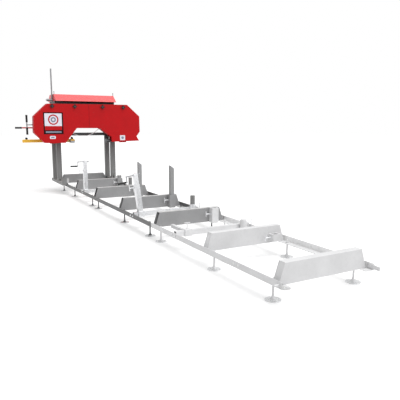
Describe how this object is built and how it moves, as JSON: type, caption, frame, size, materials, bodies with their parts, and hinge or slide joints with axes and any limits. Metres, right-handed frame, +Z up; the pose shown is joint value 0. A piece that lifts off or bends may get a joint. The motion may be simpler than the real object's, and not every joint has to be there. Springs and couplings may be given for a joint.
{
  "type": "portable band sawmill",
  "caption": "Portable band sawmill: a levelled track with bunks, log stops and clamps, and a rolling mast that raises and lowers a covered horizontal band saw head.",
  "frame": {"origin": "middle of the machine's footprint box, on the ground under the levelling feet, with the carriage parked at the far end of the track", "axes": "+X across the track towards the engine side, +Y along the track towards the parked carriage, +Z up"},
  "size_m": [2.1498, 6.7468, 2.182],
  "materials": {
    "grey_paint": "satin grey enamel over steel, slightly worn at the edges",
    "pale_paint": "pale grey enamel of the extension section",
    "zinc": "bright zinc-plated steel",
    "steel": "plain machined steel",
    "black_paint": "black enamel",
    "red_paint": "glossy red powder coat",
    "yellow_paint": "yellow enamel",
    "engine_shroud": "black moulded shrouds round a small engine",
    "belt_rubber": "black rubber belt"
  },
  "bodies": {
    "track": {"track_section_1": "grey_paint", "track_section_2": "grey_paint", "track_section_3": "pale_paint", "joint_bunk_3": "grey_paint", "joint_bunk_5": "pale_paint", "crossbar_A": "zinc", "crossbar_B": "zinc", "crossbar_C": "pale_paint"},
    "foot_left_1": {"foot_left_1": "zinc"},
    "foot_right_1": {"foot_right_1": "zinc"},
    "foot_left_2": {"foot_left_2": "zinc"},
    "foot_right_2": {"foot_right_2": "zinc"},
    "foot_left_3": {"foot_left_3": "zinc"},
    "foot_right_3": {"foot_right_3": "zinc"},
    "foot_left_4": {"foot_left_4": "zinc"},
    "foot_right_4": {"foot_right_4": "zinc"},
    "foot_left_5": {"foot_left_5": "zinc"},
    "foot_right_5": {"foot_right_5": "zinc"},
    "foot_left_6": {"foot_left_6": "zinc"},
    "foot_right_6": {"foot_right_6": "zinc"},
    "foot_left_7": {"foot_left_7": "pale_paint"},
    "foot_right_7": {"foot_right_7": "pale_paint"},
    "foot_left_8": {"foot_left_8": "pale_paint"},
    "foot_right_8": {"foot_right_8": "pale_paint"},
    "foot_left_9": {"foot_left_9": "pale_paint"},
    "foot_right_9": {"foot_right_9": "pale_paint"},
    "log_stop_2": {"log_stop_2": "grey_paint"},
    "log_stop_3": {"log_stop_3": "grey_paint"},
    "log_stop_4": {"log_stop_4": "grey_paint"},
    "support_post_A": {"support_post_A": "black_paint"},
    "support_post_B": {"support_post_B": "black_paint"},
    "clamp_jaw_A": {"clamp_jaw_A": "zinc"},
    "clamp_inner_tube_A": {"clamp_inner_tube_A": "zinc"},
    "clamp_crank_A": {"clamp_crank_A": "steel"},
    "clamp_jaw_B": {"clamp_jaw_B": "zinc"},
    "clamp_inner_tube_B": {"clamp_inner_tube_B": "zinc"},
    "clamp_crank_B": {"clamp_crank_B": "steel"},
    "clamp_jaw_C": {"clamp_jaw_C": "pale_paint"},
    "carriage": {"carriage_mast": "grey_paint", "mast_hood": "red_paint", "lift_chain_left": "black_paint", "lift_chain_right": "black_paint"},
    "carriage_wheel_near_left": {"carriage_wheel_near_left": "steel"},
    "carriage_wheel_near_right": {"carriage_wheel_near_right": "steel"},
    "carriage_wheel_far_left": {"carriage_wheel_far_left": "steel"},
    "carriage_wheel_far_right": {"carriage_wheel_far_right": "steel"},
    "head": {"head_frame": "black_paint", "engine": "engine_shroud", "drive_belt": "belt_rubber", "band_blade": "steel"},
    "lift_shaft": {"lift_shaft": "steel"},
    "lift_lever": {"lift_lever": "steel"},
    "cover_door_left": {"cover_door_left": "red_paint"},
    "cover_door_right": {"cover_door_right": "red_paint"},
    "band_wheel_right": {"band_wheel_right": "steel"},
    "tension_handle": {"tension_handle": "steel"},
    "tension_block": {"tension_block": "steel"},
    "band_wheel_left": {"band_wheel_left": "steel"},
    "engine_pulley": {"engine_pulley": "steel"},
    "blade_guide_arm": {"blade_guide_arm": "yellow_paint"}
  },
  "joints": [
    {"name": "foot_left_1_turn", "type": "hinge", "parent": "track", "child": "foot_left_1", "pos_m": [-0.28389, 3.01972, 0.03], "axis": [0, 0, 1], "continuous": true},
    {"name": "foot_right_1_turn", "type": "hinge", "parent": "track", "child": "foot_right_1", "pos_m": [0.51411, 3.01972, 0.03], "axis": [0, 0, 1], "continuous": true},
    {"name": "foot_left_2_turn", "type": "hinge", "parent": "track", "child": "foot_left_2", "pos_m": [-0.28389, 2.24665, 0.03], "axis": [0, 0, 1], "continuous": true},
    {"name": "foot_right_2_turn", "type": "hinge", "parent": "track", "child": "foot_right_2", "pos_m": [0.51411, 2.24665, 0.03], "axis": [0, 0, 1], "continuous": true},
    {"name": "foot_left_3_turn", "type": "hinge", "parent": "track", "child": "foot_left_3", "pos_m": [-0.28389, 1.21297, 0.03], "axis": [0, 0, 1], "continuous": true},
    {"name": "foot_right_3_turn", "type": "hinge", "parent": "track", "child": "foot_right_3", "pos_m": [0.51411, 1.21297, 0.03], "axis": [0, 0, 1], "continuous": true},
    {"name": "foot_left_4_turn", "type": "hinge", "parent": "track", "child": "foot_left_4", "pos_m": [-0.28389, 0.9217, 0.03], "axis": [0, 0, 1], "continuous": true},
    {"name": "foot_right_4_turn", "type": "hinge", "parent": "track", "child": "foot_right_4", "pos_m": [0.51411, 0.9217, 0.03], "axis": [0, 0, 1], "continuous": true},
    {"name": "foot_left_5_turn", "type": "hinge", "parent": "track", "child": "foot_left_5", "pos_m": [-0.28389, -0.16892, 0.03], "axis": [0, 0, 1], "continuous": true},
    {"name": "foot_right_5_turn", "type": "hinge", "parent": "track", "child": "foot_right_5", "pos_m": [0.51411, -0.16892, 0.03], "axis": [0, 0, 1], "continuous": true},
    {"name": "foot_left_6_turn", "type": "hinge", "parent": "track", "child": "foot_left_6", "pos_m": [-0.28389, -0.97703, 0.03], "axis": [0, 0, 1], "continuous": true},
    {"name": "foot_right_6_turn", "type": "hinge", "parent": "track", "child": "foot_right_6", "pos_m": [0.51411, -0.97703, 0.03], "axis": [0, 0, 1], "continuous": true},
    {"name": "foot_left_7_turn", "type": "hinge", "parent": "track", "child": "foot_left_7", "pos_m": [-0.28389, -1.26612, 0.03], "axis": [0, 0, 1], "continuous": true},
    {"name": "foot_right_7_turn", "type": "hinge", "parent": "track", "child": "foot_right_7", "pos_m": [0.51411, -1.26612, 0.03], "axis": [0, 0, 1], "continuous": true},
    {"name": "foot_left_8_turn", "type": "hinge", "parent": "track", "child": "foot_left_8", "pos_m": [-0.28389, -2.35674, 0.03], "axis": [0, 0, 1], "continuous": true},
    {"name": "foot_right_8_turn", "type": "hinge", "parent": "track", "child": "foot_right_8", "pos_m": [0.51411, -2.35674, 0.03], "axis": [0, 0, 1], "continuous": true},
    {"name": "foot_left_9_turn", "type": "hinge", "parent": "track", "child": "foot_left_9", "pos_m": [-0.28389, -3.16265, 0.03], "axis": [0, 0, 1], "continuous": true},
    {"name": "foot_right_9_turn", "type": "hinge", "parent": "track", "child": "foot_right_9", "pos_m": [0.51411, -3.16265, 0.03], "axis": [0, 0, 1], "continuous": true},
    {"name": "log_stop_2_lift", "type": "slide", "parent": "track", "child": "log_stop_2", "axis": [0, 0, 1], "range_m": [-0.02, 0.2]},
    {"name": "log_stop_3_lift", "type": "slide", "parent": "track", "child": "log_stop_3", "axis": [0, 0, 1], "range_m": [-0.14, 0.08]},
    {"name": "log_stop_4_lift", "type": "slide", "parent": "track", "child": "log_stop_4", "axis": [0, 0, 1], "range_m": [-0.11, 0.1]},
    {"name": "support_post_A_lift", "type": "slide", "parent": "track", "child": "support_post_A", "axis": [0, 0, 1], "range_m": [-0.09, 0.08]},
    {"name": "support_post_B_lift", "type": "slide", "parent": "track", "child": "support_post_B", "axis": [0, 0, 1], "range_m": [-0.08, 0.09]},
    {"name": "clamp_jaw_A_slide", "type": "slide", "parent": "track", "child": "clamp_jaw_A", "axis": [1, 0, 0], "range_m": [0, 0.6]},
    {"name": "clamp_inner_tube_A_lift", "type": "slide", "parent": "clamp_jaw_A", "child": "clamp_inner_tube_A", "axis": [0, 0, 1], "range_m": [-0.045, 0.2]},
    {"name": "clamp_crank_A_turn", "type": "hinge", "parent": "clamp_inner_tube_A", "child": "clamp_crank_A", "pos_m": [-0.27589, 1.58746, 0.642], "axis": [1, 0, 0], "continuous": true},
    {"name": "clamp_jaw_B_slide", "type": "slide", "parent": "track", "child": "clamp_jaw_B", "axis": [1, 0, 0], "range_m": [-0.05, 0.55]},
    {"name": "clamp_inner_tube_B_lift", "type": "slide", "parent": "clamp_jaw_B", "child": "clamp_inner_tube_B", "axis": [-0.1305, 0, 0.9914], "range_m": [-0.045, 0.2]},
    {"name": "clamp_crank_B_turn", "type": "hinge", "parent": "clamp_inner_tube_B", "child": "clamp_crank_B", "pos_m": [-0.2841, -0.55765, 0.63799], "axis": [0.9914, 0, 0.1305], "continuous": true},
    {"name": "clamp_jaw_C_slide", "type": "slide", "parent": "track", "child": "clamp_jaw_C", "axis": [1, 0, 0], "range_m": [-0.09, 0.5]},
    {"name": "carriage_travel", "type": "slide", "parent": "track", "child": "carriage", "axis": [0, 1, 0], "range_m": [-5.8, 0]},
    {"name": "carriage_wheel_near_left_roll", "type": "hinge", "parent": "carriage", "child": "carriage_wheel_near_left", "pos_m": [-0.33189, 2.59342, 0.2123], "axis": [1, 0, 0], "continuous": true},
    {"name": "carriage_wheel_near_right_roll", "type": "hinge", "parent": "carriage", "child": "carriage_wheel_near_right", "pos_m": [0.56211, 2.59342, 0.2123], "axis": [1, 0, 0], "continuous": true},
    {"name": "carriage_wheel_far_left_roll", "type": "hinge", "parent": "carriage", "child": "carriage_wheel_far_left", "pos_m": [-0.33189, 3.19342, 0.2123], "axis": [1, 0, 0], "continuous": true},
    {"name": "carriage_wheel_far_right_roll", "type": "hinge", "parent": "carriage", "child": "carriage_wheel_far_right", "pos_m": [0.56211, 3.19342, 0.2123], "axis": [1, 0, 0], "continuous": true},
    {"name": "head_lift", "type": "slide", "parent": "carriage", "child": "head", "axis": [0, 0, 1], "range_m": [-0.605, 0.02]},
    {"name": "lift_shaft_turn", "type": "hinge", "parent": "carriage", "child": "lift_shaft", "pos_m": [0.11511, 2.95542, 1.64], "axis": [1, 0, 0], "continuous": true},
    {"name": "lift_lever_swing", "type": "hinge", "parent": "carriage", "child": "lift_lever", "pos_m": [-0.44489, 2.95542, 1.64], "axis": [1, 0, 0], "range_deg": [-65, 65]},
    {"name": "cover_door_left_open", "type": "hinge", "parent": "head", "child": "cover_door_left", "pos_m": [-0.48654, 2.76342, 0.89], "axis": [1, 0, 0], "range_deg": [0, 100]},
    {"name": "cover_door_right_open", "type": "hinge", "parent": "head", "child": "cover_door_right", "pos_m": [0.78361, 2.76342, 0.89], "axis": [1, 0, 0], "range_deg": [0, 100]},
    {"name": "band_wheel_right_spin", "type": "hinge", "parent": "head", "child": "band_wheel_right", "pos_m": [0.71511, 2.69643, 1.23], "axis": [0, 1, 0], "continuous": true},
    {"name": "tension_handle_turn", "type": "hinge", "parent": "head", "child": "tension_handle", "pos_m": [-0.89989, 2.80043, 1.208], "axis": [1, 0, 0], "range_deg": [0, 1080]},
    {"name": "tension_block_slide", "type": "slide", "parent": "head", "child": "tension_block", "axis": [1, 0, 0], "range_m": [0, 0.012]},
    {"name": "band_wheel_left_spin", "type": "hinge", "parent": "tension_block", "child": "band_wheel_left", "pos_m": [-0.48489, 2.69643, 1.23], "axis": [0, 1, 0], "continuous": true},
    {"name": "engine_pulley_spin", "type": "hinge", "parent": "head", "child": "engine_pulley", "pos_m": [0.91511, 2.79842, 1.15], "axis": [0, 1, 0], "continuous": true},
    {"name": "blade_guide_arm_slide", "type": "slide", "parent": "head", "child": "blade_guide_arm", "axis": [1, 0, 0], "range_m": [-0.04, 0.3]}
  ],
  "couplings": [
    {"joint": "carriage_wheel_near_left_roll", "follows": "carriage_travel", "rad_per_m": -35.336},
    {"joint": "carriage_wheel_near_right_roll", "follows": "carriage_travel", "rad_per_m": -35.336},
    {"joint": "carriage_wheel_far_left_roll", "follows": "carriage_travel", "rad_per_m": -35.336},
    {"joint": "carriage_wheel_far_right_roll", "follows": "carriage_travel", "rad_per_m": -35.336},
    {"joint": "lift_shaft_turn", "follows": "head_lift", "rad_per_m": -47.17},
    {"joint": "tension_block_slide", "follows": "tension_handle_turn", "m_per_rad": 0.00063662},
    {"joint": "band_wheel_left_spin", "follows": "band_wheel_right_spin", "ratio": 1},
    {"joint": "engine_pulley_spin", "follows": "band_wheel_right_spin", "ratio": 2.4444}
  ]
}
